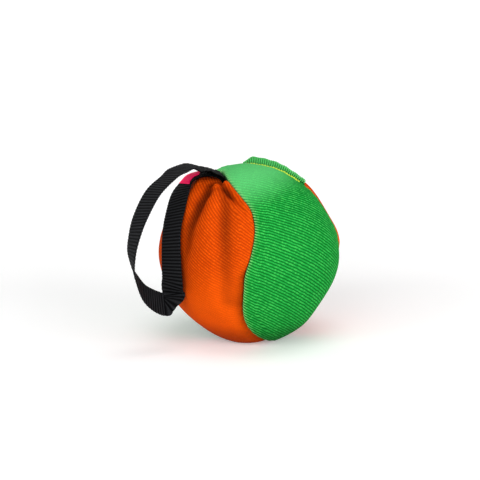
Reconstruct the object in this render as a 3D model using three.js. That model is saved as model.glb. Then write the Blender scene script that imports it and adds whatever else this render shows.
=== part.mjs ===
// Stuffed fabric ball with a webbing handle: four sewn gores round a fibre filling,
// a folded strap caught in one seam and a closing seam overlocked on the outside.
// Millimetres, +Z up, -Y is the front, and the origin is where the ball rests.
import * as THREE from "three";

// The ball and its cloth
const BALL_RADIUS = 50;
const REST_DEPTH = 3;
const CLOTH = 1.6;
const POLE_LEAN_LEFT = 18;
const POLE_LEAN_BACK = 2.7;

// The upper gore tips are drawn further back, between these latitudes
const TIP_LEAN_BACK = 18;
const TIP_LEAN_FROM = 40;
const TIP_LEAN_TO = 88;

// The sewn seams: sways are in degrees at 45 degrees of latitude, front seam first, then anticlockwise
const SEAM_SWAY = [16, 0, 16, -10];
const FRONT_TIP_TURN = -11;
const FRONT_TIP_FROM = 36;
const FRONT_TIP_TO = 66;
const FRONT_SHIFT = -2.3;
const FRONT_SHIFT_FROM = 4;
const FRONT_SHIFT_TO = 30;
const SEAM_GAP = 0.3;
const SEAM_ALLOWANCE = 6;
const TIP_HOLE = 0.8;
const SEAM_DRAW = 0.9;
const SEAM_DRAW_REACH = 5;
const FRONT_SEAM = 0;
const CLOSING_SEAM = 1;

// Places where the filling has settled flat: latitude, longitude and depth
const FLATS = [
  { lat: -34, lon: -77, depth: 1.2 },
  { lat: -50, lon: 80, depth: 2.4 },
  { lat: 16, lon: 96, depth: 2 },
  { lat: 44, lon: 90, depth: 1 },
];
const FLAT_SOFTNESS = 1.2;

// Folds of the slack cloth: two ends as latitude and longitude, depth and half width.
// A depth below nought swells out, and the first fold is the dip that the strap's pull makes.
const FOLDS = [
  { from: [88, 0], to: [86, 0], depth: 1.8, reach: 9 },
  { from: [70, -30], to: [30, -41], depth: 3, reach: 5 },
  { from: [66, -14], to: [30, -24], depth: -1.2, reach: 5 },
  { from: [46, -10], to: [8, -13], depth: 1.4, reach: 7 },
  { from: [28, -91], to: [14, -91], depth: -1.3, reach: 8 },
  { from: [-2, 93], to: [-9, 93], depth: -1.2, reach: 6 },
];

// The closing seam's ridge, turned outwards, and its overlock and needle threads
const RIDGE_HEIGHT = 3.5;
const RIDGE_END_HEIGHT = 2.2;
const RIDGE_TOP = 74;
const RIDGE_END = 37;
const RIDGE_FADE = 4;
const OVERLOCK_LOOPS = 16;
const OVERLOCK_THREAD = 0.55;
const NEEDLE_THREAD = 0.6;
const SEAM_THREAD_END = 76;

// The webbing handle, its hinge line in the front seam and its label
const STRAP_WIDTH = 15;
const STRAP = 1.2;
const STRAP_EDGE = 0.5;
const LAYER_GAP = 0.3;
const TAIL_DEPTH = 8;
const ROOT_LAT = 70;
const ROOT_REAR_DROP = 1.8;
const SLOT_END = 5;
const LABEL_WIDTH = 12;
const LABEL = 0.5;
const LABEL_GAP = 0.65;
const LABEL_SHIFT = -0.7;
const LABEL_START = 0.074;
const LABEL_END = 0.149;

const CLEARANCE = 0.35;
const FILLING_GAP = 0.7;
const GOOD_SELF_GAP = 0.4;

// Mesh density
const GORE_COLUMNS = 12;
const GORE_RINGS = 24;
const FILLING_COLUMNS = 4;
const STRAP_STEPS = 87;
const LABEL_STEPS = 10;
const SEAM_THREAD_STEPS = 24;
const ARCH_STEPS = 10;
const THREAD_SIDES = 5;

const CENTRE = new THREE.Vector3(0, 0, BALL_RADIUS - REST_DEPTH);
const HINGE_STANDOFF = STRAP + LAYER_GAP / 2 + CLEARANCE;
const SLOT_HALF = (HINGE_STANDOFF * BALL_RADIUS) / (BALL_RADIUS - SEAM_ALLOWANCE);
const SLOT_REACH = STRAP_WIDTH / 2 + CLEARANCE;
const RIDGE_HALF = SEAM_GAP / 2 + CLOTH;
const ROOT_RADIUS = BALL_RADIUS - SEAM_DRAW - ROOT_REAR_DROP / 2;
const TAIL_ROOM = TAIL_DEPTH - SEAM_ALLOWANCE + SEAM_DRAW + ROOT_REAR_DROP;

const COLOURS = {
  orange: new THREE.MeshStandardMaterial({ color: 0xeb5505, roughness: 0.85, metalness: 0 }),
  green: new THREE.MeshStandardMaterial({ color: 0x2faa4e, roughness: 0.85, metalness: 0 }),
  fibre: new THREE.MeshStandardMaterial({ color: 0xeeebe4, roughness: 0.95, metalness: 0 }),
  webbing: new THREE.MeshStandardMaterial({ color: 0x121214, roughness: 0.6, metalness: 0 }),
  label: new THREE.MeshStandardMaterial({ color: 0xd8094f, roughness: 0.7, metalness: 0 }),
  overlock: new THREE.MeshStandardMaterial({ color: 0x2c9c48, roughness: 0.7, metalness: 0 }),
  needle: new THREE.MeshStandardMaterial({ color: 0xc8dc28, roughness: 0.6, metalness: 0 }),
};

const { degToRad, lerp, smoothstep } = THREE.MathUtils;
const sin = (degrees) => Math.sin(degToRad(degrees));
const cos = (degrees) => Math.cos(degToRad(degrees));
const degrees = THREE.MathUtils.radToDeg;

// The ball's own frame: leaning poles, longitude 0 at the front
const lean = new THREE.Quaternion().setFromEuler(
  new THREE.Euler(-degToRad(POLE_LEAN_BACK), -degToRad(POLE_LEAN_LEFT), 0),
);
const LEVEL = new THREE.Vector3(1, 0, 0);

function direction(lat, lon) {
  return new THREE.Vector3(cos(lat) * sin(lon), -cos(lat) * cos(lon), sin(lat)).applyQuaternion(lean);
}

// The cloth's frame is the ball's with the rings about its upper tips leaned back
function leanBack(vector, lat) {
  const tipLean = TIP_LEAN_BACK * smoothstep(lat, TIP_LEAN_FROM, TIP_LEAN_TO);
  return vector.applyAxisAngle(LEVEL, -degToRad(tipLean));
}

function clothDirection(lat, lon) {
  return leanBack(direction(lat, lon), lat);
}

// Unit vector along a ring of the cloth, towards growing longitude
function ringSide(lat, lon) {
  return leanBack(direction(0, lon + 90), lat);
}

function onCloth(lat, lon, radius) {
  return clothDirection(lat, lon).multiplyScalar(radius).add(CENTRE);
}

function seamLon(seam, lat) {
  const line = ((seam % 4) + 4) % 4;
  const plain = seam * 90 + SEAM_SWAY[line] * sin(2 * lat);
  if (line !== FRONT_SEAM) {
    return plain;
  }
  const tipTurn = FRONT_TIP_TURN * smoothstep(lat, FRONT_TIP_FROM, FRONT_TIP_TO);
  return plain + tipTurn + FRONT_SHIFT * (1 - smoothstep(lat, FRONT_SHIFT_FROM, FRONT_SHIFT_TO));
}

// The strap's root: the stretch of the front seam, short of the top, that holds both ends of the webbing
const rootLon = seamLon(FRONT_SEAM, ROOT_LAT);
const rootNormal = clothDirection(ROOT_LAT, rootLon);
const alongSeam = clothDirection(ROOT_LAT - 0.5, seamLon(FRONT_SEAM, ROOT_LAT - 0.5)).sub(
  clothDirection(ROOT_LAT + 0.5, seamLon(FRONT_SEAM, ROOT_LAT + 0.5)),
);
const latPerMm = 1 / (BALL_RADIUS * alongSeam.length());

// Angle at the pole axis that spans a distance square to the meridian
function spanAngle(distance, lat) {
  return degrees(Math.asin(Math.min(1, distance / (BALL_RADIUS * cos(lat)))));
}

function seamDistance(lat, lon) {
  const distances = [0, 1, 2, 3].map((seam) => {
    const apart = degToRad(lon - seamLon(seam, lat));
    return Math.cos(apart) > 0 ? BALL_RADIUS * cos(lat) * Math.abs(Math.sin(apart)) : BALL_RADIUS;
  });
  return Math.min(...distances);
}

function foldDepth(toward) {
  const point = toward.clone().multiplyScalar(BALL_RADIUS);
  let depth = 0;
  for (const fold of FOLDS) {
    const start = direction(...fold.from).multiplyScalar(BALL_RADIUS);
    const end = direction(...fold.to).multiplyScalar(BALL_RADIUS);
    const nearest = new THREE.Line3(start, end).closestPointToPoint(point, true, new THREE.Vector3());
    depth += fold.depth * Math.exp(-((nearest.distanceTo(point) / fold.reach) ** 2));
  }
  return depth;
}

function softMin(a, b, softness) {
  return -softness * Math.log(Math.exp(-a / softness) + Math.exp(-b / softness));
}

// Distance from the ball's centre to the outside of the cloth
function clothRadius(lat, lon) {
  const toward = clothDirection(lat, lon);
  const draw = SEAM_DRAW * Math.exp(-((seamDistance(lat, lon) / SEAM_DRAW_REACH) ** 2));
  let radius = BALL_RADIUS - draw - foldDepth(toward);
  for (const flat of FLATS) {
    const facing = toward.dot(direction(flat.lat, flat.lon));
    if (facing > 0.5) {
      radius = softMin(radius, (BALL_RADIUS - flat.depth) / facing, FLAT_SOFTNESS);
    }
  }
  return toward.z < 0 ? Math.min(radius, CENTRE.z / -toward.z) : radius;
}

// Joins rings that run anticlockwise about the loft's direction, with a flat outline for each end cap
function loft(rings, startOutline, endOutline) {
  const count = rings[0].length;
  const index = [];
  for (let ring = 0; ring + 1 < rings.length; ring++) {
    for (let point = 0; point < count; point++) {
      const here = ring * count + point;
      const next = ring * count + ((point + 1) % count);
      index.push(here, next, next + count, here, next + count, here + count);
    }
  }
  const last = (rings.length - 1) * count;
  for (const [a, b, c] of THREE.ShapeUtils.triangulateShape(startOutline, [])) {
    index.push(c, b, a);
  }
  for (const [a, b, c] of THREE.ShapeUtils.triangulateShape(endOutline, [])) {
    index.push(last + a, last + b, last + c);
  }
  const geometry = new THREE.BufferGeometry().setFromPoints(rings.flat());
  geometry.setIndex(index);
  geometry.computeVertexNormals();
  return geometry;
}

// Half the opening at a seam: the front seam widens at the root for the strap's two tails
function seamOffset(seam, lat) {
  const plain = SEAM_GAP / 2;
  if (seam !== FRONT_SEAM) {
    return plain;
  }
  const fromRoot = Math.abs(lat - ROOT_LAT) / latPerMm;
  return lerp(SLOT_HALF, plain, smoothstep(fromRoot, SLOT_REACH, SLOT_REACH + SLOT_END));
}

function ridgeShare(lat) {
  const rise = smoothstep(lat, RIDGE_END - RIDGE_FADE, RIDGE_END);
  return rise * (1 - smoothstep(lat, RIDGE_TOP, RIDGE_TOP + RIDGE_FADE));
}

function ridgeHeight(lat) {
  return lerp(RIDGE_END_HEIGHT, RIDGE_HEIGHT, smoothstep(lat, RIDGE_END, RIDGE_TOP));
}

// One edge of a gore at one latitude: where the cloth turns, how far it stands out and how deep it turns in
function goreEdge(seam, side, lat, width) {
  const outer = seamLon(seam, lat) + side * spanAngle(seamOffset(seam, lat), lat);
  const wall = Math.min(CLOTH, 0.35 * width);
  const inner = outer + side * degrees(wall / (BALL_RADIUS * cos(lat)));
  const ridge = seam === CLOSING_SEAM ? ridgeShare(lat) : 0;
  const sliver = 0.05;
  return {
    outer,
    inner,
    standing: seam === CLOSING_SEAM,
    rise: sliver + ridgeHeight(lat) * ridge,
    depth: lerp(SEAM_ALLOWANCE, CLOTH + sliver, ridge),
  };
}

// Section of a gore at one latitude as longitude and radius: outside, right edge, inside, left edge
function goreSection(leftSeam, lat) {
  const rightSeam = leftSeam + 1;
  const leftStart = seamLon(leftSeam, lat) + spanAngle(seamOffset(leftSeam, lat), lat);
  const rightStart = seamLon(rightSeam, lat) - spanAngle(seamOffset(rightSeam, lat), lat);
  const width = degToRad(rightStart - leftStart) * BALL_RADIUS * cos(lat);
  const left = goreEdge(leftSeam, 1, lat, width);
  const right = goreEdge(rightSeam, -1, lat, width);
  const outside = [];
  const inside = [];
  const outsideLeft = left.standing ? left.inner : left.outer;
  const outsideRight = right.standing ? right.inner : right.outer;
  for (let column = 0; column <= GORE_COLUMNS; column++) {
    const share = column / GORE_COLUMNS;
    const outsideLon = lerp(outsideLeft, outsideRight, share);
    const insideLon = lerp(left.inner, right.inner, share);
    outside.push([outsideLon, clothRadius(lat, outsideLon)]);
    inside.unshift([insideLon, clothRadius(lat, insideLon) - CLOTH]);
  }
  const rightRadius = outside[GORE_COLUMNS][1];
  const leftRadius = outside[0][1];
  const rightTurn = [
    [right.outer, rightRadius - right.depth],
    [right.inner, rightRadius - right.depth],
  ];
  const leftTurn = [
    [left.inner, leftRadius - left.depth],
    [left.outer, leftRadius - left.depth],
  ];
  if (right.standing) {
    rightTurn.unshift([right.inner, rightRadius + right.rise], [right.outer, rightRadius + right.rise]);
  }
  if (left.standing) {
    leftTurn.push([left.outer, leftRadius + left.rise], [left.inner, leftRadius + left.rise]);
  }
  return [...outside, ...rightTurn, ...inside, ...leftTurn];
}

// A gore between two seams, with its seam allowances turned in or, on the closing seam, out
function goreGeometry(leftSeam) {
  const highest = degrees(Math.acos(TIP_HOLE / BALL_RADIUS));
  const latitudes = Array.from({ length: GORE_RINGS }, (_, ring) =>
    lerp(-highest, highest, ring / (GORE_RINGS - 1)),
  );
  const seams = [leftSeam, leftSeam + 1];
  if (seams.includes(FRONT_SEAM)) {
    const reaches = [-SLOT_REACH - SLOT_END, -SLOT_REACH, 0, SLOT_REACH, SLOT_REACH + SLOT_END];
    latitudes.push(...reaches.map((reach) => ROOT_LAT + reach * latPerMm));
  }
  if (seams.includes(CLOSING_SEAM)) {
    latitudes.push(RIDGE_END - RIDGE_FADE, RIDGE_END, RIDGE_TOP, RIDGE_TOP + RIDGE_FADE);
  }
  latitudes.sort((a, b) => a - b);
  const sections = latitudes.map((lat) => goreSection(leftSeam, lat));
  const rings = sections.map((section, ring) =>
    section.map(([lon, radius]) => onCloth(latitudes[ring], lon, radius)),
  );
  const tip = BALL_RADIUS * cos(highest);
  const outline = (section) => section.map(([lon, radius]) => new THREE.Vector2(radius, degToRad(lon) * tip));
  return loft(rings, outline(sections[0]), outline(sections.at(-1)));
}

// Least radius of the cloth near a place, so that the filling stays inside the folds
function leastClothRadius(lat, lon) {
  const stepLat = 180 / GORE_RINGS;
  const stepLon = 90 / FILLING_COLUMNS / 2;
  const places = [[0, 0], [stepLat, 0], [-stepLat, 0], [0, stepLon], [0, -stepLon]];
  return Math.min(...places.map(([dLat, dLon]) => clothRadius(lat + dLat, lon + dLon)));
}

// The fibre filling: it swells behind each gore and draws in round the turned-in seams and the tails
function fillingGeometry() {
  const reach = 84;
  const grooveHalf = RIDGE_HALF + FILLING_GAP;
  const rings = [];
  for (let ring = 0; ring < GORE_RINGS; ring++) {
    const lat = lerp(-reach, reach, ring / (GORE_RINGS - 1));
    const tip = 1 - smoothstep(BALL_RADIUS * cos(lat), 14, 26);
    const points = [];
    for (let gore = 0; gore < 4; gore++) {
      const left = seamLon(gore, lat);
      const right = seamLon(gore + 1, lat);
      const leftGroove = grooveHalf + seamOffset(gore, lat);
      const rightGroove = grooveHalf + seamOffset((gore + 1) % 4, lat);
      const most = 0.3 * (right - left);
      const start = left + Math.min(most, spanAngle(leftGroove, lat));
      const end = right - Math.min(most, spanAngle(rightGroove, lat));
      for (let column = 0; column <= FILLING_COLUMNS + 1; column++) {
        const edge = column === 0 || column === FILLING_COLUMNS + 1;
        const lon = lerp(start, end, column / (FILLING_COLUMNS + 1));
        const fromRoot = BALL_RADIUS * clothDirection(lat, lon).distanceTo(rootNormal);
        const tails = TAIL_ROOM * (1 - smoothstep(fromRoot, STRAP_WIDTH, 2 * STRAP_WIDTH));
        const sunk = (SEAM_ALLOWANCE - CLOTH) * (edge ? 1 : tip) + tails;
        points.push([lon, leastClothRadius(lat, lon) - CLOTH - FILLING_GAP - sunk]);
      }
    }
    rings.push(points.map(([lon, radius]) => onCloth(lat, lon, radius)));
  }
  const outline = rings[0].map((_, point) => {
    const turn = (2 * Math.PI * point) / rings[0].length;
    return new THREE.Vector2(Math.cos(turn), Math.sin(turn));
  });
  return loft(rings, outline, outline);
}

// Both strap ends, stacked and sewn into the front seam
function tailsGeometry() {
  const steps = 4;
  const half = STRAP + LAYER_GAP / 2;
  const rings = [];
  for (let step = 0; step <= steps; step++) {
    const share = step / steps - 0.5;
    const lat = ROOT_LAT - share * STRAP_WIDTH * latPerMm;
    const lon = seamLon(FRONT_SEAM, lat);
    const side = ringSide(lat, lon);
    const corner = (across, radius) => onCloth(lat, lon, radius).addScaledVector(side, across);
    const top = ROOT_RADIUS + share * ROOT_REAR_DROP + CLEARANCE - LAYER_GAP;
    const bottom = top - TAIL_DEPTH;
    rings.push([corner(half, bottom), corner(half, top), corner(-half, top), corner(-half, bottom)]);
  }
  const outline = [
    new THREE.Vector2(half, 0),
    new THREE.Vector2(half, TAIL_DEPTH),
    new THREE.Vector2(-half, TAIL_DEPTH),
    new THREE.Vector2(-half, 0),
  ];
  return loft(rings, outline, outline);
}

// The hinge line along the root, a little lower at its rear end
const rootLine = alongSeam
  .normalize()
  .multiplyScalar(STRAP_WIDTH)
  .addScaledVector(rootNormal, ROOT_REAR_DROP)
  .normalize();

// Route of the strap's loop from the lower layer at its root round to the upper layer:
// latitude, longitude and standoff of the middle, then longitude and tilt of the width
const LOOP_ROUTE = [
  [79, -40, 1.4, 4, 1],
  [75, -63, 4.3, 8, -4],
  [70, -70, 5.2, 22, -6],
  [66, -71, 4.5, 35, -1],
  [60, -68, 4, 41, -2],
  [50, -61, 2.8, 44, -3],
  [35, -56, 2.5, 44, -3],
  [18, -55, 2.3, 47, -5],
  [5, -56, 3.8, 49, -7],
  [0, -57, 4.8, 52, -9],
  [-3, -57, 5.4, 52, -13],
  [-4, -56, 6.3, 48, -16],
  [-5, -56, 8.2, 21, -26],
  [-6, -57, 11.3, -5, -41],
  [-5, -57, 12.7, -13, -42],
  [-1, -56, 17.6, -16, -32],
  [4, -55, 22.6, -11, -19],
  [11, -54, 26.4, -1, -4],
  [16, -54, 28.4, 8, 3],
  [22, -53, 30, 21, 2],
  [30, -52, 29.5, 28, -2],
  [38, -52, 27.5, 33, -5],
  [49, -52, 24.5, 29, -13],
  [59, -52, 19.1, 18, -13],
  [66, -55, 15.1, 10, -13],
  [72, -59, 11.1, 9, -6],
  [77, -58, 7.2, 7, 5],
  [80, -37, 2.8, 4, 3],
];

// Middle of a layer at the root, below or above the hinge line
function rootMiddle(layer) {
  const step = (layer * (STRAP + LAYER_GAP)) / 2;
  return rootNormal.clone().multiplyScalar(ROOT_RADIUS + HINGE_STANDOFF + step).add(CENTRE);
}

function strapEdge(side) {
  const half = (side * STRAP_WIDTH) / 2;
  const loop = LOOP_ROUTE.map(([lat, lon, standoff, widthLon, widthTilt]) =>
    direction(lat, lon)
      .multiplyScalar(BALL_RADIUS + standoff)
      .add(CENTRE)
      .addScaledVector(direction(widthTilt, widthLon), half),
  );
  const ends = [-1, 1].map((layer) => rootMiddle(layer).addScaledVector(rootLine, half));
  return new THREE.CatmullRomCurve3([ends[0], ...loop, ends[1]], false, "centripetal");
}

const rearEdge = strapEdge(-1);
const frontEdge = strapEdge(1);

function strapMiddle(share) {
  return rearEdge.getPoint(share).lerp(frontEdge.getPoint(share), 0.5);
}

// Middle, width and face direction of the strap at a share of its route
function strapFrame(share) {
  const step = 1e-3;
  const before = strapMiddle(Math.max(0, share - step));
  const tangent = strapMiddle(Math.min(1, share + step)).sub(before).normalize();
  const across = frontEdge.getPoint(share).sub(rearEdge.getPoint(share));
  const width = across.addScaledVector(tangent, -across.dot(tangent)).normalize();
  return { middle: strapMiddle(share), width, face: tangent.cross(width) };
}

// A flat band along part of the strap's route, with thinned edges, shifted across the strap and lifted off it
function bandGeometry({ from, to, steps, width, thickness, edge, shift, lift }) {
  const outline = [
    new THREE.Vector2(width / 2, 0),
    new THREE.Vector2(width / 2 - edge, thickness / 2),
    new THREE.Vector2(edge - width / 2, thickness / 2),
    new THREE.Vector2(-width / 2, 0),
    new THREE.Vector2(edge - width / 2, -thickness / 2),
    new THREE.Vector2(width / 2 - edge, -thickness / 2),
  ];
  const rings = [];
  for (let step = 0; step <= steps; step++) {
    const frame = strapFrame(lerp(from, to, step / steps));
    rings.push(
      outline.map((point) =>
        frame.middle
          .clone()
          .addScaledVector(frame.width, point.x + shift)
          .addScaledVector(frame.face, point.y + lift),
      ),
    );
  }
  return loft(rings, outline, outline);
}

// A round thread through the given points
function threadGeometry(points, diameter) {
  const curve = new THREE.CatmullRomCurve3(points, false, "centripetal");
  const frames = curve.computeFrenetFrames(points.length - 1, false);
  const outline = Array.from({ length: THREAD_SIDES }, (_, side) => {
    const turn = (2 * Math.PI * side) / THREAD_SIDES;
    return new THREE.Vector2(Math.cos(turn), Math.sin(turn)).multiplyScalar(diameter / 2);
  });
  const rings = points.map((_, step) => {
    const middle = curve.getPointAt(step / (points.length - 1));
    return outline.map((point) =>
      middle
        .clone()
        .addScaledVector(frames.normals[step], point.x)
        .addScaledVector(frames.binormals[step], point.y),
    );
  });
  return loft(rings, outline, outline);
}

// A point beside a seam: across from its line and up from the cloth
function besideSeam(seam, lat, across, up) {
  const lon = seamLon(seam, lat);
  return onCloth(lat, lon, clothRadius(lat, lon) + up).addScaledVector(ringSide(lat, lon), across);
}

// The overlock thread: one unbroken run that arches over the ridge from side to side
function overlockPoints() {
  const out = RIDGE_HALF + CLEARANCE + OVERLOCK_THREAD / 2;
  const low = CLEARANCE + NEEDLE_THREAD + CLEARANCE + OVERLOCK_THREAD / 2;
  const start = RIDGE_TOP - RIDGE_FADE / 2;
  const end = RIDGE_END + RIDGE_FADE / 2;
  const steps = OVERLOCK_LOOPS * ARCH_STEPS;
  const points = [];
  for (let step = 0; step <= steps; step++) {
    const turn = (Math.PI * step) / ARCH_STEPS;
    const lat = lerp(start, end, step / steps);
    const high = ridgeHeight(lat) + CLEARANCE + OVERLOCK_THREAD / 2;
    const across = Math.cos(turn);
    const square = Math.sign(across) * Math.min(1, Math.abs(across) * 2);
    const up = lerp(high, low, across ** 6);
    points.push(besideSeam(CLOSING_SEAM, lat, out * square, up));
  }
  return points;
}

// Least clear distance of a thread to itself, past the stretch next to each point
function leastSelfGap(points, diameter) {
  const near = ARCH_STEPS / 2;
  let least = Infinity;
  points.forEach((point, i) => {
    for (let j = i + near; j < points.length; j++) {
      least = Math.min(least, point.distanceTo(points[j]) - diameter);
    }
  });
  return least;
}

// Thread run along a seam between two latitudes
function seamThreadPoints(seam, fromLat, toLat, across, up) {
  return Array.from({ length: SEAM_THREAD_STEPS + 1 }, (_, step) =>
    besideSeam(seam, lerp(fromLat, toLat, step / SEAM_THREAD_STEPS), across, up),
  );
}

const ball = new THREE.Group();
const handle = new THREE.Group();

function piece(group, name, geometry, material) {
  const mesh = new THREE.Mesh(geometry, material);
  mesh.name = name;
  group.add(mesh);
}

piece(ball, "stuffing_core", fillingGeometry(), COLOURS.fibre);
piece(ball, "orange_panel_front", goreGeometry(FRONT_SEAM - 1), COLOURS.orange);
piece(ball, "green_panel_front", goreGeometry(FRONT_SEAM), COLOURS.green);
piece(ball, "orange_panel_back", goreGeometry(CLOSING_SEAM), COLOURS.orange);
piece(ball, "green_panel_back", goreGeometry(CLOSING_SEAM + 1), COLOURS.green);
piece(ball, "strap_tails", tailsGeometry(), COLOURS.webbing);

// Inner seam threads lie against the turned-in cloth, halfway down the seam allowance
const insideAcross = RIDGE_HALF + CLEARANCE + NEEDLE_THREAD / 2;
const belowSlot = ROOT_LAT - (SLOT_REACH + 2 * SLOT_END) * latPerMm;
const seamThreads = [
  ["front_seam_thread", FRONT_SEAM, belowSlot],
  ["right_seam_thread", CLOSING_SEAM, RIDGE_END - 2 * RIDGE_FADE],
  ["back_seam_thread", FRONT_SEAM + 2, SEAM_THREAD_END],
  ["left_seam_thread", CLOSING_SEAM + 2, SEAM_THREAD_END],
];
for (const [name, seam, topLat] of seamThreads) {
  const points = seamThreadPoints(seam, -SEAM_THREAD_END, topLat, insideAcross, -SEAM_ALLOWANCE / 2);
  piece(ball, name, threadGeometry(points, NEEDLE_THREAD), COLOURS.needle);
}

const overlock = overlockPoints();
piece(ball, "closing_overlock_thread", threadGeometry(overlock, OVERLOCK_THREAD), COLOURS.overlock);
const selfGap = leastSelfGap(overlock, OVERLOCK_THREAD);
console.log(`overlock thread: least gap to itself ${selfGap.toFixed(2)} mm, wanted over ${GOOD_SELF_GAP}`);

const needleAcross = -(RIDGE_HALF + CLEARANCE + NEEDLE_THREAD / 2);
const needleUp = CLEARANCE + NEEDLE_THREAD / 2;
const needlePoints = seamThreadPoints(CLOSING_SEAM, RIDGE_END, RIDGE_TOP, needleAcross, needleUp);
piece(ball, "closing_needle_thread", threadGeometry(needlePoints, NEEDLE_THREAD), COLOURS.needle);

const loopBand = bandGeometry({
  from: 0,
  to: 1,
  steps: STRAP_STEPS,
  width: STRAP_WIDTH,
  thickness: STRAP,
  edge: STRAP_EDGE,
  shift: 0,
  lift: 0,
});
piece(handle, "strap_loop", loopBand, COLOURS.webbing);
const labelBand = bandGeometry({
  from: LABEL_START,
  to: LABEL_END,
  steps: LABEL_STEPS,
  width: LABEL_WIDTH,
  thickness: LABEL,
  edge: LABEL / 2,
  shift: LABEL_SHIFT,
  lift: STRAP / 2 + LABEL_GAP + LABEL / 2,
});
piece(handle, "label_tab", labelBand, COLOURS.label);

const softBall = new THREE.Group();
softBall.add(ball, handle);
export default softBall;
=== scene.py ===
from math import cos, pi, radians, sin

import bmesh
import bpy
import numpy as np
from mathutils import Euler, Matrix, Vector


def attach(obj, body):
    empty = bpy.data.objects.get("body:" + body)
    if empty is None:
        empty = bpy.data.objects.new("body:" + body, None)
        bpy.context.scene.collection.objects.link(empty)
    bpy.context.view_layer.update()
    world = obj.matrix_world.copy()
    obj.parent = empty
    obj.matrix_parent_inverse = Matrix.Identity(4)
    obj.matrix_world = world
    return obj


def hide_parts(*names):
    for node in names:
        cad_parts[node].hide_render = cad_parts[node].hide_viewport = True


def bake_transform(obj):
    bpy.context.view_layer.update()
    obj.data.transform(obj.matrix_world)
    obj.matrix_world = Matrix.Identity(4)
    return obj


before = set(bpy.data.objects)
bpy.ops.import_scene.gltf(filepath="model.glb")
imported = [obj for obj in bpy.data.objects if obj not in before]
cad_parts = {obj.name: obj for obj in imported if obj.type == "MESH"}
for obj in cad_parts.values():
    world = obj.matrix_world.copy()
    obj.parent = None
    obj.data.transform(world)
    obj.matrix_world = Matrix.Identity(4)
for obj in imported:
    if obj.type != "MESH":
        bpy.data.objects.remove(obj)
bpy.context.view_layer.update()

# The camera: a long lens, 15 degrees above the table and square to the front of the ball,
# which sits a little right of and below the middle of the picture.
MM = 0.001
ball_radius = 50 * MM
rest_depth = 3 * MM
ball_centre = np.array([0, 0, ball_radius - rest_depth])
view_rise = radians(15)
view_distance = 3.0
picture_width = 266.7 * MM
aim_left = 5.6 * MM
aim_up = 7.2 * MM

scene = bpy.context.scene
scene.view_settings.view_transform = "Standard"
towards_camera = Vector((0, -cos(view_rise), sin(view_rise)))
picture_up = Vector((0, sin(view_rise), cos(view_rise)))
aim = Vector(ball_centre) + Vector((-aim_left, 0, 0)) + aim_up * picture_up
lens = bpy.data.cameras.new("camera")
lens.sensor_width = 36
lens.lens = lens.sensor_width * view_distance / picture_width
camera = bpy.data.objects.new("camera", lens)
camera.location = aim + view_distance * towards_camera
camera.rotation_euler = towards_camera.to_track_quat("Z", "Y").to_euler()
scene.collection.objects.link(camera)
scene.camera = camera


# The table: a wide white card that fades into a white room. It takes the ball's soft shadow,
# and the picture's white comes from the card's own colour and not from stronger lamps.
def add_node(tree, kind, inputs=None, **settings):
    """A shader node with its settings, and each input set to a value or joined to an output."""
    node = tree.nodes.new(kind)
    for name, value in settings.items():
        setattr(node, name, value)
    for socket, value in (inputs or {}).items():
        if isinstance(value, bpy.types.NodeSocket):
            tree.links.new(value, node.inputs[socket])
        else:
            node.inputs[socket].default_value = value
    return node


def calc(tree, operation, first, second=0.0, third=0.0):
    """Arithmetic on two or three values in a shader."""
    inputs = {0: first, 1: second, 2: third}
    return add_node(tree, "ShaderNodeMath", inputs, operation=operation).outputs[0]


def graded(tree, mask, low, high):
    """A shader value that goes from low to high as a mask goes from nought to one."""
    return calc(tree, "MULTIPLY_ADD", mask, high - low, low)


def new_material(name):
    """A node material with its tree and its main shader."""
    material = bpy.data.materials.new(name)
    material.use_nodes = True
    shader = material.node_tree.nodes["Principled BSDF"]
    return material, material.node_tree, shader


def seen_directly(tree):
    """One for rays from the camera and for clear or mirrored rays, and nothing for light."""
    path = tree.nodes.new("ShaderNodeLightPath")
    shown = calc(tree, "MAXIMUM", path.outputs["Is Camera Ray"], path.outputs["Is Glossy Ray"])
    return calc(tree, "MAXIMUM", shown, path.outputs["Is Transmission Ray"])


def add_object(name, mesh, material):
    """A finished piece at the origin, smooth shaded."""
    mesh.materials.append(material)
    mesh.polygons.foreach_set("use_smooth", np.ones(len(mesh.polygons), dtype=bool))
    piece = bpy.data.objects.new(name, mesh)
    scene.collection.objects.link(piece)
    return piece


table_half = 3.0
table_white = 0.9
table_glow = 0.22
card, card_tree, card_shader = new_material("white_card")
card_shader.inputs["Base Color"].default_value = (table_white, table_white, table_white, 1)
card_shader.inputs["Roughness"].default_value = 0.9
card_shader.inputs["Specular IOR Level"].default_value = 0.0
card_shader.inputs["Emission Color"].default_value = (1, 1, 1, 1)
glow = calc(card_tree, "MULTIPLY", seen_directly(card_tree), table_glow)
card_tree.links.new(glow, card_shader.inputs["Emission Strength"])
table_shape = bmesh.new()
bmesh.ops.create_grid(table_shape, x_segments=2, y_segments=2, size=table_half)
table_mesh = bpy.data.meshes.new("table")
table_shape.to_mesh(table_mesh)
table_shape.free()
add_object("table", table_mesh, card)

# The lamps: a broad soft light from above, a small one at the left for the faint shadow on the right,
# a wide key light in front, a low wide one at the right that lifts the green side, and an even white room.
room_light = 0.32
world = bpy.data.worlds.new("white_room")
scene.world = world
world.use_nodes = True
background = world.node_tree.nodes["Background"]
background.inputs["Color"].default_value = (1, 1, 1, 1)
room_strength = graded(world.node_tree, seen_directly(world.node_tree), room_light, 1)
world.node_tree.links.new(room_strength, background.inputs["Strength"])


def add_lamp(name, from_place, spread, share_of_white):
    """A far soft lamp that lights the table to a share of white, from a direction and over a spread angle."""
    towards = Vector(from_place).normalized()
    lamp = bpy.data.lights.new(name, "SUN")
    lamp.angle = radians(spread)
    lamp.energy = share_of_white * pi / towards.z
    holder = bpy.data.objects.new(name, lamp)
    holder.rotation_euler = towards.to_track_quat("Z", "Y").to_euler()
    scene.collection.objects.link(holder)


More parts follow.
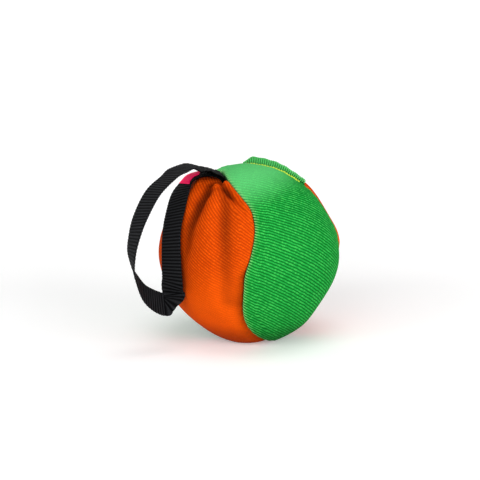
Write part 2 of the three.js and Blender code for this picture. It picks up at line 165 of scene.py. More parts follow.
add_lamp("overhead_softbox", (0.12, 0, 1), 40, 0.22)
add_lamp("left_softbox", (-0.72, -0.6, 0.5), 18, 0.08)
add_lamp("key_softbox", (-0.35, -1, 0.5), 40, 0.17)
add_lamp("right_softbox", (0.85, -0.75, 0.2), 50, 0.13)

# The gores: four leaf-shaped panels of ribbed woven cotton, two orange and two green, cut on the slant
# and sewn edge to edge. Their allowances turn in, but the closing seam's stand up outside as a ridge.
cloth_thickness = 1.0 * MM
pole_lean_back, pole_lean_left = 2.7, 18
pole_turn = np.array(Euler((radians(-pole_lean_back), radians(-pole_lean_left), 0), "YXZ").to_matrix())
tip_lean, tip_lean_from, tip_lean_to = 18, 40, 88
seam_count = 4
seam_step = 360 / seam_count
seam_sway = (16, 0, 16, -10)
front_seam = 0
closing_seam = 1
front_tip_turn, front_tip_from, front_tip_to = -11, 35, 70
front_sweep, front_sweep_from, front_sweep_to = -50, 76, 86
front_shift, front_shift_from, front_shift_to = -2, 4, 30
front_kink, front_kink_lat, front_kink_reach = -1.3, -2, 7


def direction(lat, lon):
    """Unit vectors at latitudes and longitudes about the leaning poles where the gores' tips meet."""
    lat, lon = np.broadcast_arrays(np.radians(lat), np.radians(lon))
    flat = np.cos(lat)
    return np.stack([flat * np.sin(lon), -flat * np.cos(lon), np.sin(lat)], axis=-1) @ pole_turn.T


def at_distance(towards, radius):
    """Points along unit vectors at a distance from the ball's centre."""
    return ball_centre + np.broadcast_to(radius, towards.shape[:-1])[..., None] * towards


def ease(start, end, value):
    """Nought before start, one after end, and smooth between them."""
    share = np.clip((value - start) / (end - start), 0, 1)
    return share * share * (3 - 2 * share)


def bell(distance, reach):
    """One at no distance, fading to nought past the reach."""
    return np.exp(-((distance / reach) ** 2))


def lean_back(towards, lat):
    """Vectors leaned back about the level axis, more and more near the gores' upper tips."""
    turn = np.radians(tip_lean * ease(tip_lean_from, tip_lean_to, lat))
    side, depth, height = np.moveaxis(towards, -1, 0)
    leaned = depth * np.cos(turn) + height * np.sin(turn)
    return np.stack([side, leaned, height * np.cos(turn) - depth * np.sin(turn)], axis=-1)


def cloth_direction(lat, lon):
    """Unit vectors at the cloth's own latitudes and longitudes, whose upper tips lean back."""
    return lean_back(direction(lat, lon), lat)


def on_cloth(lat, lon, radius):
    """Points at the cloth's own places and a distance from the ball's centre."""
    return at_distance(cloth_direction(lat, lon), radius)


def seam_lon(seam, lat):
    """Longitude of a seam's line, which sways between the poles."""
    line = seam_step * seam + seam_sway[seam % seam_count] * np.sin(np.radians(2 * lat))
    if seam % seam_count != front_seam:
        return line
    tip_turn = front_tip_turn * ease(front_tip_from, front_tip_to, lat)
    tip_turn = tip_turn + front_sweep * ease(front_sweep_from, front_sweep_to, lat)
    low_shift = front_shift * (1 - ease(front_shift_from, front_shift_to, lat))
    return line + tip_turn + low_shift + front_kink * bell(lat - front_kink_lat, front_kink_reach)


def from_seam(seam, lat, lon):
    """Distance to the right of a seam's line."""
    apart = np.radians(lon - seam_lon(seam, lat))
    beside = ball_radius * np.cos(np.radians(lat)) * np.sin(apart)
    return np.where(np.cos(apart) > 0, beside, ball_radius)


# Folds of the slack cloth: latitude and longitude from the top down, then in millimetres their depth at
# each of the stations and their half width at both ends. Depths below nought swell out.
fold_stations = (0, 0.35, 1)
cloth_folds = (
    {"path": ((69, -35), (62, -33), (52, -37), (41, -40), (25, -43), (2, -51)),
     "depth": (3.6, 4, 1.8), "reach": (4.6, 6)},
    {"path": ((65, -5), (48, -5), (31, -9), (16, -13), (1, -17), (-15, -22)),
     "depth": (2.1, 2.6, 2.1), "reach": (5, 7)},
    {"path": ((62, -16), (52, -18), (40, -22), (24, -27)), "depth": (-0.8, -1.2, -0.4), "reach": (3, 6)},
    {"path": ((77, -84), (70, -56), (59, -51), (46, -50)), "depth": (-1.8, -2.9, -0.6), "reach": (4, 4)},
    {"path": ((70, -102), (67, -116)), "depth": (-1.8, -1.8, -1.4), "reach": (5, 5)},
    {"path": ((38, 9), (28, 3)), "depth": (-0.8, -1.0, -0.4), "reach": (5, 5)},
    {"path": ((73, -46), (73, -28)), "depth": (1, 1.6, 1.2), "reach": (2.5, 2.5)},
    {"path": ((71, -36), (70, -20), (69, -8), (67, 0)), "depth": (-0.8, -1.6, -2), "reach": (2, 2.2)},
    {"path": ((8, -30), (-20, -34)), "depth": (-0.6, -0.8, -0.3), "reach": (14, 14)},
    {"path": ((78, 180), (78, -160)), "depth": (-1.1, -1.1, -1.1), "reach": (5, 5)},
    {"path": ((28, -91), (14, -91)), "depth": (-0.8, -0.8, -0.8), "reach": (8, 8)},
    {"path": ((-2, 93), (-9, 93)), "depth": (-1.2, -1.2, -1.2), "reach": (6, 6)},
)


def fold_depth(towards):
    """How far the slack folds sink the cloth at unit vectors from the ball's centre."""
    points = ball_radius * towards
    depth = np.zeros(points.shape[:-1])
    for fold in cloth_folds:
        line = ball_radius * direction(*np.array(fold["path"], dtype=float).T)
        nearest = np.full(depth.shape, np.inf)
        place = np.zeros(depth.shape)
        for step in range(len(line) - 1):
            run = line[step + 1] - line[step]
            share = np.clip(((points - line[step]) @ run) / (run @ run), 0, 1)
            distance = np.linalg.norm(points - line[step] - share[..., None] * run, axis=-1)
            place = np.where(distance < nearest, (step + share) / (len(line) - 1), place)
            nearest = np.minimum(distance, nearest)
        reach = np.interp(place, (0, 1), fold["reach"]) * MM
        depth += np.interp(place, fold_stations, fold["depth"]) * MM * bell(nearest, reach)
    return depth


# Along the front seam, green laps over orange below. Above, a welt of orange rolls between the seam and
# a groove, and the strap presses the cloth down by its root. Ranges are latitudes.
seam_draw = 0.9 * MM
draw_reach = 5 * MM
lap_from, lap_to = -4, 10
lap_swell, lap_swell_reach = 0.6 * MM, 6 * MM
lap_tuck = 1.1 * MM
welt_starts, welt_ends = (30, 44), (60, 68)
welt_height, welt_out, welt_reach = 0.9 * MM, 1.8 * MM, 1.7 * MM
welt_groove, welt_groove_more = 1.5 * MM, 1.3 * MM
welt_groove_deepens = (46, 54)
welt_groove_out, welt_groove_reach = 4.3 * MM, 1.3 * MM
press_lat, press_fades = 74, (11, 15)
press_depth, press_out, press_reach = 1.2 * MM, 4.2 * MM, 3.6 * MM


def front_seam_draw(lat, lon):
    """How far the cloth sinks beside the front seam."""
    beside = from_seam(front_seam, lat, lon)
    low = 1 - ease(lap_from, lap_to, lat)
    high = ease(*welt_starts, lat) * (1 - ease(*welt_ends, lat))
    green = seam_draw * (1 - low) * bell(beside, draw_reach) - lap_swell * low * bell(beside, lap_swell_reach)
    orange = (seam_draw * (1 - high) + lap_tuck * low) * bell(beside, draw_reach)
    orange -= high * welt_height * bell(beside + welt_out, welt_reach)
    groove = welt_groove + welt_groove_more * ease(*welt_groove_deepens, lat)
    orange += high * groove * bell(beside + welt_groove_out, welt_groove_reach)
    pressed = 1 - ease(*press_fades, np.abs(lat - press_lat))
    orange += pressed * press_depth * bell(beside + press_out, press_reach)
    return np.where(beside < 0, orange, green)


pucker_height, pucker_length, pucker_reach = 0.14 * MM, 0.95 * MM, 3.5 * MM
unevenness = 0.3 * MM
uneven_one_way, uneven_other_way = (9, 4, 7), (-5, 8, 6)
# Places where the filling has settled flat: latitude, longitude and depth in millimetres
settled_flats = ((-34, -77, 0.7), (-50, 80, 2), (12, 96, 1.1))
flat_softness = 1.2 * MM
flat_least_facing = 0.5
foot_least_facing = 0.1


def cloth_radius(lat, lon):
    """Distance from the ball's centre to the outside of the cloth."""
    lat, lon = np.broadcast_arrays(np.asarray(lat, dtype=float), np.asarray(lon, dtype=float))
    towards = cloth_direction(lat, lon)
    radius = ball_radius - fold_depth(towards) - front_seam_draw(lat, lon)
    for seam in range(front_seam + 1, seam_count):
        radius = radius - seam_draw * bell(from_seam(seam, lat, lon), draw_reach)
    pucker = pucker_height * np.sin(np.radians(lat) * ball_radius / pucker_length)
    for seam in range(seam_count):
        radius = radius + pucker * bell(from_seam(seam, lat, lon), pucker_reach)
    waves = np.sin(towards @ uneven_one_way + 1) * np.sin(towards @ uneven_other_way)
    radius = radius + unevenness * waves
    for flat_lat, flat_lon, depth in settled_flats:
        facing = np.maximum(towards @ direction(flat_lat, flat_lon), flat_least_facing)
        plane = np.where(facing > flat_least_facing, (ball_radius - depth * MM) / facing, 2 * ball_radius)
        radius = -flat_softness * np.logaddexp(-radius / flat_softness, -plane / flat_softness)
    down = np.maximum(-towards[..., 2], foot_least_facing)
    return np.minimum(radius, ball_centre[2] / down)


ridge_height = 3.5 * MM
ridge_end_height = 1.7 * MM
ridge_top, ridge_end, ridge_fade = 70, 38, 8
plain_opening = 0.12 * MM
slot_half = 1.75 * MM
slot_shift = 0.85
slot_reach = 7.85 * MM
slot_end = 5 * MM
slot_most = 0.85
allowance = 3.4 * MM
roll_radius = 1.1 * MM
edge_reach = 8 * MM
edge_columns = 18
edge_crowding = 1.25
middle_columns = 52
gore_rows = 340
tip_lat = 89.3
root_lat = 70
root_lon = float(seam_lon(front_seam, root_lat))
root_normal = cloth_direction(root_lat, root_lon)
seam_by_root = np.array([root_lat - 0.5, root_lat + 0.5])
root_ends = cloth_direction(seam_by_root, seam_lon(front_seam, seam_by_root))
along_root = root_ends[0] - root_ends[1]
lat_per_metre = 1 / (ball_radius * np.linalg.norm(along_root))


def ridge_share(lat):
    """One along the ridge of the closing seam, and nought past its ends."""
    return ease(ridge_end - ridge_fade, ridge_end, lat) * (1 - ease(ridge_top, ridge_top + ridge_fade, lat))


def ridge_rise(lat):
    """Height of the ridge over the cloth, which drops towards its lower end."""
    return ridge_end_height + (ridge_height - ridge_end_height) * ease(ridge_end, ridge_top, lat)


def seam_opening(seam, side, lat):
    """Gap from a seam's line to its cloth, wider round the strap's tails, mostly left of the line."""
    along = ball_radius * np.cos(np.radians(lat))
    if seam % seam_count != front_seam:
        return np.full(along.shape, plain_opening)
    from_root = np.abs(lat - root_lat) / lat_per_metre
    closing = ease(slot_reach, slot_reach + slot_end, from_root)
    widest = slot_half * (1 - slot_shift * side)
    return np.minimum(widest + (plain_opening - widest) * closing, slot_most * along)


def edge_distances(seam, lat, tightness):
    """Distances along the cloth from a seam: the turned allowance, up in the ridge, and then the panel."""
    ridge = ridge_share(lat) if seam == closing_seam else np.zeros(lat.shape)
    turned = allowance + ridge * (ridge_rise(lat) - roll_radius - allowance)
    across = np.linspace(0, 1, edge_columns)
    return (-turned + (edge_reach + turned) * across ** edge_crowding) * tightness


def turned_edge(seam, side, lat, distance, tightness):
    """On one side of a seam, where cloth lies by its distance along itself: off the seam's line, and up."""
    ridge = ridge_share(lat) if seam == closing_seam else np.zeros(lat.shape)
    roll = roll_radius * tightness
    quarter = roll * pi / 2
    turn = np.clip((quarter - distance) / roll, 0, pi / 2)
    turned = roll * (1 - np.cos(turn)) + np.maximum(-distance, 0)
    opening = seam_opening(seam, side, lat) + ridge * cloth_thickness
    beside = opening + roll * (1 - np.sin(turn)) + np.maximum(distance - quarter, 0)
    return beside, turned * (2 * ridge - 1)


def bend_degrees(distance, rim):
    """Angle about the pole axis that spans a distance square to the meridian."""
    return np.degrees(np.arcsin(np.clip(distance / rim, -1, 1)))


def cloth_place(lat, lon):
    """Where a point of a gore lay on the flat cloth, measured from the middle of the gore."""
    lat, lon = np.broadcast_arrays(np.radians(lat), np.radians(lon))
    right, up = np.cos(lat) * np.sin(lon), np.sin(lat)
    arc = np.arctan2(np.hypot(right, up), np.cos(lat) * np.cos(lon))
    stretch = ball_radius * arc / np.maximum(np.sin(arc), 1e-6)
    return np.stack([right * stretch, up * stretch], axis=-1)


def grid_mesh(name, points, cloth_places, masks):
    """A mesh grid through rows and columns of points, with a UV map of flat cloth and named masks."""
    rows, columns = points.shape[:2]
    shape = bmesh.new()
    bmesh.ops.create_grid(shape, x_segments=columns - 1, y_segments=rows - 1, size=0.5)
    mesh = bpy.data.meshes.new(name)
    shape.to_mesh(mesh)
    shape.free()
    corner = np.empty(3 * len(mesh.vertices), dtype=np.float32)
    mesh.vertices.foreach_get("co", corner)
    column = np.rint((corner[0::3] + 0.5) * (columns - 1)).astype(int)
    row = np.rint((corner[1::3] + 0.5) * (rows - 1)).astype(int)
    mesh.vertices.foreach_set("co", points[row, column].astype(np.float32).ravel())
    loop_vertex = np.empty(len(mesh.loops), dtype=np.int32)
    mesh.loops.foreach_get("vertex_index", loop_vertex)
    places = cloth_places[row, column][loop_vertex].astype(np.float32)
    mesh.uv_layers.new(name="cloth").data.foreach_set("uv", places.ravel())
    for mask, values in masks.items():
        layer = mesh.attributes.new(mask, "FLOAT", "POINT")
        layer.data.foreach_set("value", values[row, column].astype(np.float32))
    mesh.update()
    return mesh


# Painted shade: the cloth is painted darker in its creases, near the floor under the ball and under the
# ridge's winding.
crease_from, crease_to = 0.6 * MM, 3.8 * MM
foot_shade, foot_shade_from, foot_shade_to = 0.55, 17 * MM, 5 * MM
winding_shade_reach = 2.2 * MM
rib_end_highlight_reach = 1.8 * MM


def gore_mesh(name, left_seam, painted_light_between):
    """A gore between two seams, with both edges turned, and painted light with flatter ribs past a pair of
    latitudes.
    """
    lat = np.linspace(-tip_lat, tip_lat, gore_rows)[:, None]
    rim = ball_radius * np.cos(np.radians(lat))
    left_line = seam_lon(left_seam, lat)
    right_line = seam_lon(left_seam + 1, lat)
    tightness = np.minimum(1, np.radians(right_line - left_line) * rim / (3 * edge_reach))
    left_distance = edge_distances(left_seam, lat, tightness)
    right_distance = edge_distances(left_seam + 1, lat, tightness)
    left_beside, left_up = turned_edge(left_seam, 1, lat, left_distance, tightness)
    right_beside, right_up = turned_edge(left_seam + 1, -1, lat, right_distance, tightness)
    left_lon = left_line + bend_degrees(left_beside, rim)
    right_lon = (right_line - bend_degrees(right_beside, rim))[:, ::-1]
    share = np.linspace(0, 1, middle_columns + 2)[1:-1]
    middle_lon = left_lon[:, -1:] + (right_lon[:, :1] - left_lon[:, -1:]) * share
    lon = np.concatenate([left_lon, middle_lon, right_lon], axis=1)
    up = np.concatenate([left_up, np.zeros(middle_lon.shape), right_up[:, ::-1]], axis=1)
    points = on_cloth(lat, lon, cloth_radius(lat, lon) + up)
    flat_left = left_line + bend_degrees(left_distance, rim)
    flat_right = (right_line - bend_degrees(right_distance, rim))[:, ::-1]
    flat_lon = np.concatenate([flat_left, middle_lon, flat_right], axis=1)
    places = cloth_place(lat, flat_lon - seam_step * left_seam - seam_step / 2)
    sunk = fold_depth(cloth_direction(lat, lon)) + front_seam_draw(lat, lon)
    # Painted shade near the floor under the ball, and along the closing seam under the winding.
    near_foot = foot_shade * ease(foot_shade_from, foot_shade_to, points[..., 2])
    hidden = ridge_share(lat) * bell(from_seam(closing_seam, lat, lon), winding_shade_reach)
    # Painted highlight: a dotted lighter line of rib ends along each gore's left edge, where the rolled edge
    # catches the light.
    rib_end_highlights = bell(left_distance, rib_end_highlight_reach)
    masks = {
        "painted_shade": np.maximum(ease(crease_from, crease_to, sunk), near_foot + hidden),
        "painted_light": np.broadcast_to(ease(*painted_light_between, lat), lon.shape),
        "edge": np.concatenate([rib_end_highlights, 0 * middle_lon, 0 * right_lon], axis=1),
    }
    return grid_mesh(name, points, places, masks)


def srgb(red, green, blue):
    """A colour as it shows on screen, from 0 to 255, turned to the shader's light values."""
    shown = np.array([red, green, blue]) / 255
    light = np.where(shown <= 0.04045, shown / 12.92, ((shown + 0.055) / 1.055) ** 2.4)
    return (*light, 1)


def mix_colours(tree, share, first, second, blend="MIX"):
    """Two colours mixed in a shader."""
    inputs = {0: share, 6: first, 7: second}
    return add_node(tree, "ShaderNodeMix", inputs, data_type="RGBA", blend_type=blend).outputs[2]


def noise(tree, place, scale, detail, **more):
    """A soft random pattern in a shader, so many patches to a metre."""
    inputs = {"Vector": place, "Scale": scale, "Detail": detail, **more}
    return add_node(tree, "ShaderNodeTexNoise", inputs).outputs[0]


def add_bump(tree, shader, height, strength, distance):
    """A relief on a material, from a height pattern and how deep it is."""
    inputs = {"Height": height, "Strength": strength, "Distance": distance}
    tree.links.new(add_node(tree, "ShaderNodeBump", inputs).outputs[0], shader.inputs["Normal"])


def make_rib_weave():
    """Node group for ribbed cloth: rounded ribs, each a row of yarn floats that starts at a random step."""
    group = bpy.data.node_groups.new("rib_weave", "ShaderNodeTree")
    group.interface.new_socket("Cloth", in_out="INPUT", socket_type="NodeSocketVector")
    for name in ("Turn", "Rib Pitch", "Float Length", "Wander"):
        group.interface.new_socket(name, in_out="INPUT", socket_type="NodeSocketFloat")
    for name in ("Rib", "Height", "Chance"):
        group.interface.new_socket(name, in_out="OUTPUT", socket_type="NodeSocketFloat")
    given = group.nodes.new("NodeGroupInput").outputs
    inputs = {"Vector": given["Cloth"], "Angle": given["Turn"]}
    turned = add_node(group, "ShaderNodeVectorRotate", inputs, rotation_type="Z_AXIS")
    place = add_node(group, "ShaderNodeSeparateXYZ", {0: turned.outputs[0]}).outputs
    waver = noise(group, given["Cloth"], 260.0, 1.0)
    shift = calc(group, "MULTIPLY", calc(group, "SUBTRACT", waver, 0.5), given["Wander"])
    phase = calc(group, "DIVIDE", calc(group, "ADD", place["Y"], shift), given["Rib Pitch"])
    row = calc(group, "FLOOR", phase)
    rib_wave = calc(group, "COSINE", calc(group, "MULTIPLY", phase, 2 * pi))
    rib = calc(group, "MULTIPLY_ADD", rib_wave, -0.5, 0.5)
    offset = add_node(group, "ShaderNodeTexWhiteNoise", {"W": row}, noise_dimensions="1D").outputs[0]
    along = calc(group, "ADD", calc(group, "DIVIDE", place["X"], given["Float Length"]), offset)
    yarn = add_node(group, "ShaderNodeCombineXYZ", {0: row, 1: calc(group, "FLOOR", along)}).outputs[0]
    chance = add_node(group, "ShaderNodeTexWhiteNoise", {"Vector": yarn}, noise_dimensions="2D").outputs[0]
    float_wave = calc(group, "COSINE", calc(group, "MULTIPLY", along, 2 * pi))
    float_crown = calc(group, "MULTIPLY_ADD", float_wave, -0.5, 0.5)
    crown = calc(group, "POWER", rib, 0.7)
    height = calc(group, "MULTIPLY", crown, graded(group, float_crown, 0.7, 1))
    out = group.nodes.new("NodeGroupOutput")
    for name, value in (("Rib", rib), ("Height", height), ("Chance", chance)):
        group.links.new(value, out.inputs[name])
    return group


rib_weave = make_rib_weave()


def add_weave(tree, cloth, rib_turn, rib_pitch, float_length, wander):
    """The ribbed weave in a material, on its flat cloth."""
    inputs = {"Turn": rib_turn, "Rib Pitch": rib_pitch, "Float Length": float_length, "Wander": wander}
    weave = add_node(tree, "ShaderNodeGroup", node_tree=rib_weave)
    tree.links.new(cloth, weave.inputs["Cloth"])
    for socket, value in inputs.items():
        weave.inputs[socket].default_value = value
    return weave.outputs


cloth_wander = 0.7 * MM
glint_above, glint_strength = 0.55, 0.6
painted_shade_left_bright = 0.25
relief_left_under_painted_light = 0.25


def cloth_material(name, groove, rib, glint, painted_light, rib_end_highlight, rib_turn, rib_pitch, float_length, relief_depth):
    """Ribbed woven cotton: ribs of broken yarn floats with a few glints, painted shade in grooves and
    creases, painted light.
    """
    material, tree, shader = new_material(name)
    cloth = add_node(tree, "ShaderNodeUVMap", uv_map="cloth").outputs[0]
    painted_shade, painted_light_mask, edge = (
        add_node(tree, "ShaderNodeAttribute", attribute_name=mask).outputs["Fac"]
        for mask in ("painted_shade", "painted_light", "edge")
    )
    weave = add_weave(tree, cloth, rib_turn, rib_pitch, float_length, cloth_wander)
    height, chance = weave["Height"], weave["Chance"]
    patchy = noise(tree, cloth, 90.0, 3.0)
    fuzz = noise(tree, cloth, 2000.0, 2.0)
    # Painted shade: the grooves between the ribs are painted darker than the ribs, on top of the bump's
    # relief.
    yarn = calc(tree, "MULTIPLY", height, graded(tree, chance, 0.7, 1.06))
    body = mix_colours(tree, yarn, groove, rib)
    lucky = calc(tree, "MULTIPLY", calc(tree, "SUBTRACT", chance, glint_above), glint_strength)
    crown = calc(tree, "MULTIPLY", lucky, calc(tree, "POWER", height, 2.0))
    body = mix_colours(tree, calc(tree, "MAXIMUM", crown, 0.0), body, glint)
    # Painted light: a paler colour with fuzz, towards the top of the green gores and the bottom of the orange
    # ones.
    painted_light_share = calc(tree, "MULTIPLY", painted_light_mask, graded(tree, fuzz, 0.45, 0.95))
    body = mix_colours(tree, painted_light_share, body, painted_light)
    # Painted highlight on the rib ends along the left edge.
    rib_end_highlight_dots = calc(tree, "MULTIPLY", edge, calc(tree, "POWER", weave["Rib"], 3.0))
    body = mix_colours(tree, rib_end_highlight_dots, body, rib_end_highlight)
    shade = calc(tree, "MULTIPLY", graded(tree, patchy, 0.9, 1.1), graded(tree, fuzz, 0.75, 1.25))
    # Painted shade: darker in the creases, near the floor and under the winding.
    shade = calc(tree, "MULTIPLY", shade, graded(tree, painted_shade, 1.0, painted_shade_left_bright))
    grey = add_node(tree, "ShaderNodeCombineColor", {0: shade, 1: shade, 2: shade}).outputs[0]
    body = mix_colours(tree, 1.0, body, grey, "MULTIPLY")
    tree.links.new(body, shader.inputs["Base Color"])
    tree.links.new(graded(tree, fuzz, 0.72, 0.92), shader.inputs["Roughness"])
    ribs = calc(tree, "MULTIPLY", height, graded(tree, painted_light_mask, 1.0, relief_left_under_painted_light))
    add_bump(tree, shader, calc(tree, "MULTIPLY_ADD", fuzz, 0.5, ribs), 1.0, relief_depth)
    shader.inputs["Specular IOR Level"].default_value = 0.04
    return material


orange_cloth = cloth_material(
    "orange_cloth",
    groove=srgb(176, 53, 0),
    rib=srgb(229, 83, 3),
    glint=srgb(242, 100, 14),
    painted_light=srgb(232, 86, 4),
    rib_end_highlight=srgb(244, 120, 40),
    rib_turn=radians(46),
    rib_pitch=1.5 * MM,
    float_length=1.3 * MM,
    relief_depth=0.1 * MM,
)
green_cloth = cloth_material(
    "green_cloth",
    groove=srgb(0, 90, 22),
    rib=srgb(42, 185, 76),
    glint=srgb(108, 224, 104),
    painted_light=srgb(104, 213, 126),
    rib_end_highlight=srgb(172, 232, 146),
    rib_turn=radians(43),
    rib_pitch=1.6 * MM,
    float_length=1.0 * MM,
    relief_depth=0.16 * MM,
)
# Painted light: the green gores are painted paler towards the top, and the orange ones towards the bottom.
orange_painted_light_between, green_painted_light_between = (16, -16), (34, 60)
gores = (
    ("orange_panel_front", front_seam - 1, orange_cloth, "orange_cloth", orange_painted_light_between),
    ("green_panel_front", front_seam, green_cloth, "green_cloth", green_painted_light_between),
    ("orange_panel_back", closing_seam, orange_cloth, "orange_cloth", orange_painted_light_between),
    ("green_panel_back", closing_seam + 1, green_cloth, "green_cloth", green_painted_light_between),
)
for node, left_seam, cloth, slot, painted_light_between in gores:
    panel = add_object(node + "_cloth", gore_mesh(node, left_seam, painted_light_between), cloth)
    wall = panel.modifiers.new("cloth_thickness", "SOLIDIFY")
    wall.thickness = cloth_thickness
    wall.offset = -1
    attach(panel, "ball")
    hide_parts(node)


# The inner seam threads: yellow needle thread, sewn through both allowances of each seam while the ball is
# inside out. They stop below the strap's root in front and below the closing seam, and lie out of sight.
def thread_mesh(name, runs, diameter):
    """Round threads along runs of points, as one mesh."""
    curve = bpy.data.curves.new(name, "CURVE")
    curve.dimensions = "3D"
    curve.bevel_depth = diameter / 2
    curve.bevel_resolution = 2
    curve.use_fill_caps = True
    for run in runs:
        spline = curve.splines.new("POLY")
        spline.points.add(len(run) - 1)
        spline.points.foreach_set("co", np.column_stack([run, np.ones(len(run))]).ravel())
    holder = bpy.data.objects.new(name, curve)
    scene.collection.objects.link(holder)
    mesh = bpy.data.meshes.new_from_object(holder.evaluated_get(bpy.context.evaluated_depsgraph_get()))
    bpy.data.objects.remove(holder)
    return mesh


def beside_seam(seam, lat, across, up):
    """Points across from a seam's line and up from the cloth there."""
    lon = seam_lon(seam, lat)
    ring_side = lean_back(direction(0, lon + 90), lat)
    return on_cloth(lat, lon, cloth_radius(lat, lon) + up) + across[:, None] * ring_side


def thread_material(name, dark, light):
    """Twisted polyester sewing thread with a soft sheen."""
    material, tree, shader = new_material(name)
    place = tree.nodes.new("ShaderNodeTexCoord").outputs["Object"]
    twist = noise(tree, place, 1500.0, 2.0)
    tree.links.new(mix_colours(tree, twist, dark, light), shader.inputs["Base Color"])
    add_bump(tree, shader, twist, 0.7, 0.12 * MM)
    shader.inputs["Roughness"].default_value = 0.6
    shader.inputs["Specular IOR Level"].default_value = 0.15
    return material


needle_diameter = 0.9 * MM
needle_stitch = 1.5 * MM
stitch_gap = 0.2
needle_yellow = thread_material("needle_thread", srgb(150, 190, 30), srgb(220, 238, 90))


def stitch_runs(seam, from_lat, to_lat, across, up, dip):
    """Short stitches along a seam: each rises out of the cloth, lies on it and goes back in."""
    count = int(abs(radians(to_lat - from_lat)) * ball_radius / needle_stitch)
    step = (to_lat - from_lat) / count
    share = np.linspace(0, 1, 9)
    runs = []
    for stitch in range(count):
        lat = from_lat + step * (stitch + stitch_gap + (1 - 2 * stitch_gap) * share)
        height = up - dip * np.abs(2 * share - 1) ** 4
        runs.append(beside_seam(seam, lat, np.full(share.shape, across), height))
    return runs


inner_end = 76
inner_depth = 2.6 * MM
inner_dip = 0.6 * MM
inner_seams = (
    ("front_seam_thread", front_seam, 52),
    ("right_seam_thread", closing_seam, 29),
    ("back_seam_thread", front_seam + 2, inner_end),
    ("left_seam_thread", closing_seam + 2, inner_end),
)
for node, seam, top_lat in inner_seams:
    runs = stitch_runs(seam, -inner_end, top_lat, plain_opening + cloth_thickness, -inner_depth, inner_dip)
    stitches = add_object(node + "_stitches", thread_mesh(node, runs, needle_diameter), needle_yellow)
    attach(stitches, "ball")
    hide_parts(node)

# The handle: one run of black ribbed webbing, folded in half. Both ends are caught in the front seam by
# the top, one on the other, and the loop lies down the front of the ball and stands off to the left.
strap_width = 15 * MM
strap_thickness = 1.2 * MM
strap_rib_pitch = 1.8 * MM
root_rear_drop = 1.8 * MM
root_radius = ball_radius - seam_draw - root_rear_drop / 2

# Both layers at the root, in the order of the run: height over the seam and place beside it in millimetres
tail_depth = 8
lower_tail = ((-tail_depth, -2.3), (-1.8, -2.3), (0.3, -3.2), (1.9, -4.7))
upper_tail = ((3.4, -4.2), (1.6, -2.2), (-1.0, -1.0), (-tail_depth, -0.8))
# Route from the lower layer round the loop to the upper one: latitude, longitude and height in
# millimetres over the ball, then longitude and tilt of the strap's width
loop_route = (
    (79, -40, 2, 4, 1),
    (75, -63, 3.7, 8, -1),
    (70, -71.5, 4.8, 16, -4),
    (66, -73, 4.5, 26, -1),
    (60, -69, 4, 37, -2),
    (50, -61, 2.8, 44, -3),
    (35, -56, 2.5, 44, -3),
    (18, -55, 1.9, 47, -5),
    (5, -56, 2.8, 49, -7),
    (0, -57.5, 3.4, 52, -9),
    (-3, -58, 3.8, 52, -13),
    (-4, -57.5, 4.6, 48, -16),
    (-5, -56, 8.2, 21, -26),
    (-6, -57, 11.3, -5, -41),
    (-5, -57, 12.7, -13, -42),
    (-1, -56, 17.6, -16, -32),
    (4, -55, 22.6, -11, -19),
    (11, -54, 26.4, -1, -4),
    (16, -54, 28, 8, 3),
    (22, -53, 29.1, 21, 2),
    (30, -52, 28.1, 28, -2),
    (38, -52, 26, 33, -5),
    (49, -52, 23, 27, -10.5),
    (59, -52, 18.7, 15, -8.5),
    (65, -54, 16, 10, -9),
    (72, -59, 11.9, 8, 0),
    (77, -58, 6.2, 7, -4),
    (80, -37, 3.4, 4, 6),
)
root_width = along_root / np.linalg.norm(along_root) * strap_width + root_normal * root_rear_drop
root_width /= np.linalg.norm(root_width)
root_side = lean_back(direction(0, root_lon + 90), root_lat)


def root_point(height, side):
    """Middle of a layer at the root, at a height over the seam and beside it, in millimetres."""
    return at_distance(root_normal, root_radius + height * MM) + side * MM * root_side


def strap_route():
    """Middles and width directions along the whole strap, tails included, and the first row of the loop."""
    lower = [root_point(height, side) for height, side in lower_tail]
    upper = [root_point(height, side) for height, side in upper_tail]
    lat, lon, height, width_lon, width_tilt = np.array(loop_route, dtype=float).T
    loop = at_distance(direction(lat, lon), ball_radius + height * MM)
    middles = np.concatenate([lower, loop, upper])
    lower_widths = np.tile(root_width, (len(lower), 1))
    upper_widths = np.tile(root_width, (len(upper), 1))
    return middles, np.concatenate([lower_widths, direction(width_tilt, width_lon), upper_widths]), len(lower)


def smooth_run(points, steps):
    """A centripetal Catmull-Rom curve through points, with so many steps between each pair."""
    padded = np.concatenate([[2 * points[0] - points[1]], points, [2 * points[-1] - points[-2]]])
    share = np.linspace(0, 1, steps, endpoint=False)[:, None]
    run = []
    for before, start, end, after in zip(padded, padded[1:], padded[2:], padded[3:]):
        gap_in, gap, gap_out = (
            max(np.linalg.norm(far - near), 1e-9) ** 0.5
            for near, far in ((before, start), (start, end), (end, after))
        )
        leave = gap * ((start - before) / gap_in - (end - before) / (gap_in + gap) + (end - start) / gap)
        arrive = gap * ((end - start) / gap - (after - start) / (gap + gap_out) + (after - end) / gap_out)
        cubic = 2 * start - 2 * end + leave + arrive
        square = 3 * end - 3 * start - 2 * leave - arrive
        run.append(start + share * (leave + share * (square + share * cubic)))
    return np.concatenate([*run, points[-1:]])


